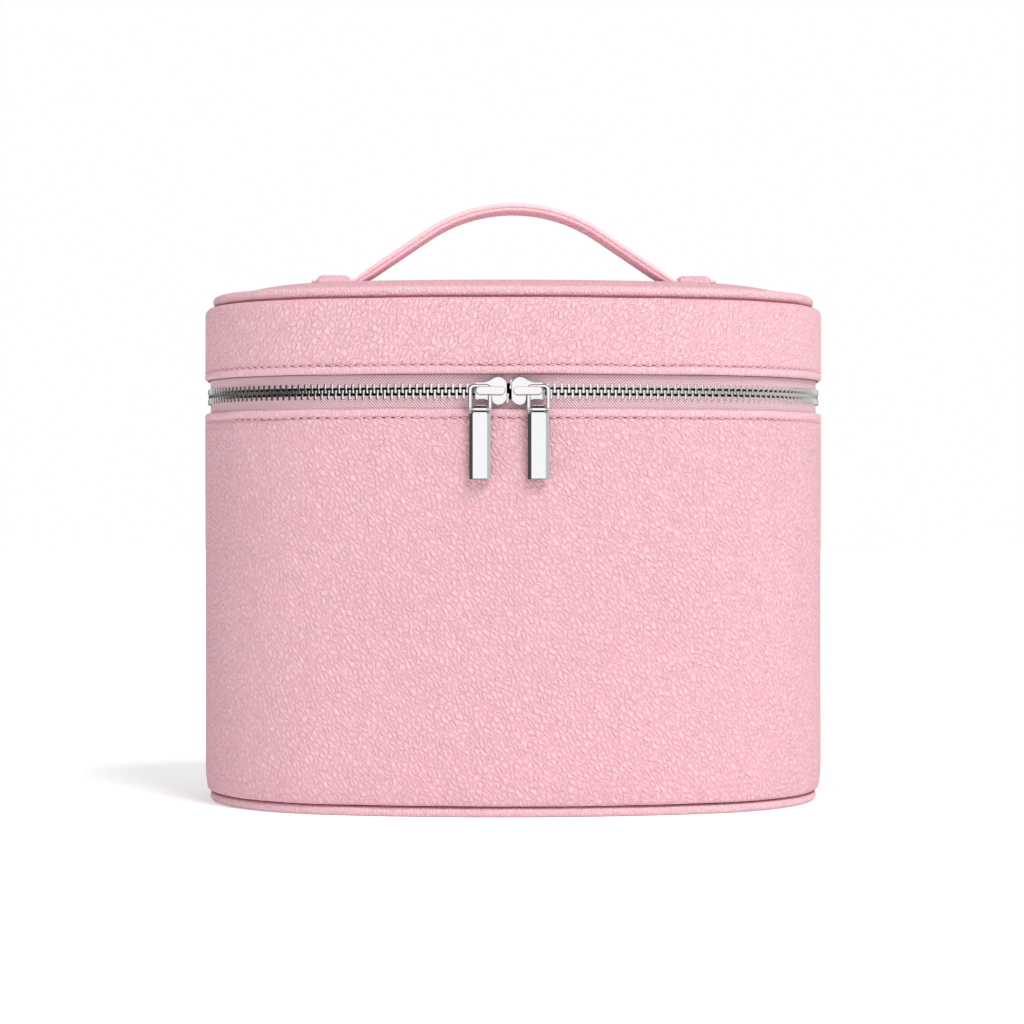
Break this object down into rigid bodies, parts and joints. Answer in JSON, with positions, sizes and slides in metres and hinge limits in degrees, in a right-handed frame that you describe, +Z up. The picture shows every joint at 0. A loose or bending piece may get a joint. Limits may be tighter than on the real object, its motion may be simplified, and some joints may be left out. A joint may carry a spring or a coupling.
{
  "type": "makeup train case",
  "caption": "Oval padded makeup train case with a zip-around hinged lid, two chrome zip pulls and an arched strap handle.",
  "frame": {"origin": "middle of the flat base, where the case stands", "axes": "+Z up, -Y towards the front where the zip sliders meet, +X to the right of the front"},
  "size_m": [0.2428, 0.1575, 0.234],
  "materials": {
    "leather": "soft pebbled leather-cloth",
    "leather_edge": "rolled and folded leather-cloth edge, semi-gloss",
    "board": "plain fibreboard",
    "lining": "matte woven lining",
    "foam": "soft open foam",
    "zip_tape": "twill woven tape",
    "zip_teeth": "polished metal teeth",
    "chrome": "mirror-bright plating",
    "mirror": "silvered glass",
    "elastic": "ribbed elastic webbing"
  },
  "bodies": {
    "case": {"base_rolled_edge": "leather_edge", "base_panel": "leather", "base_board": "board", "base_lining": "lining", "case_wall": "leather", "case_wall_board": "board", "case_wall_lining": "lining", "case_hem": "leather_edge", "lower_zip_tape": "zip_tape", "lower_tooth_row": "zip_teeth", "left_zip_stop": "zip_teeth", "right_zip_stop": "zip_teeth", "hinge_strip": "leather", "hinge_lining": "lining", "brush_band": "elastic"},
    "lid": {"lid_hem": "leather_edge", "lid_wall": "leather", "lid_wall_board": "board", "lid_wall_lining": "lining", "upper_zip_tape": "zip_tape", "upper_tooth_row": "zip_teeth", "lid_top_rolled_edge": "leather_edge", "lid_top_panel": "leather", "lid_foam": "foam", "lid_top_board": "board", "lid_top_lining": "lining", "mirror_frame": "leather_edge", "mirror": "mirror", "left_strap_tail": "leather", "right_strap_tail": "leather", "left_keeper": "leather_edge", "right_keeper": "leather_edge"},
    "handle": {"handle_strap": "leather", "handle_strap_underside": "leather_edge"},
    "left_slider": {"left_slider": "chrome", "left_slider_bridge": "chrome"},
    "right_slider": {"right_slider": "chrome", "right_slider_bridge": "chrome"},
    "left_link": {"left_link": "chrome"},
    "right_link": {"right_link": "chrome"},
    "left_pull": {"left_pull": "chrome"},
    "right_pull": {"right_pull": "chrome"}
  },
  "joints": [
    {"name": "lid_hinge", "type": "hinge", "parent": "case", "child": "lid", "pos_m": [0, 0.074, 0.1576], "axis": [-1, 0, 0], "range_deg": [0, 110], "deforming": ["hinge_strip", "hinge_lining"]},
    {"name": "handle_tilt", "type": "hinge", "parent": "lid", "child": "handle", "pos_m": [0, 0, 0.2035], "axis": [1, 0, 0], "range_deg": [-20, 20], "stiffness_Nm_per_rad": 0.05},
    {"name": "left_slider_travel", "type": "hinge", "parent": "case", "child": "left_slider", "pos_m": [0, 0.17335, 0.1576], "axis": [0, 0, -1], "range_deg": [0, 12.5]},
    {"name": "left_link_swing", "type": "hinge", "parent": "left_slider", "child": "left_link", "pos_m": [-0.01439, -0.07847, 0.1576], "axis": [0.0416, 0.9991, 0], "range_deg": [-10, 85]},
    {"name": "left_pull_lift", "type": "hinge", "parent": "left_link", "child": "left_pull", "pos_m": [-0.01439, -0.07847, 0.1508], "axis": [-0.9991, 0.0416, 0], "range_deg": [0, 110]},
    {"name": "right_slider_travel", "type": "hinge", "parent": "case", "child": "right_slider", "pos_m": [0, 0.17335, 0.1576], "axis": [0, 0, 1], "range_deg": [0, 12.5]},
    {"name": "right_link_swing", "type": "hinge", "parent": "right_slider", "child": "right_link", "pos_m": [0.00713, -0.07878, 0.1576], "axis": [0.0128, -0.9999, 0], "range_deg": [-10, 85]},
    {"name": "right_pull_lift", "type": "hinge", "parent": "right_link", "child": "right_pull", "pos_m": [0.00713, -0.07878, 0.1508], "axis": [-0.9999, -0.0128, 0], "range_deg": [0, 110]}
  ]
}
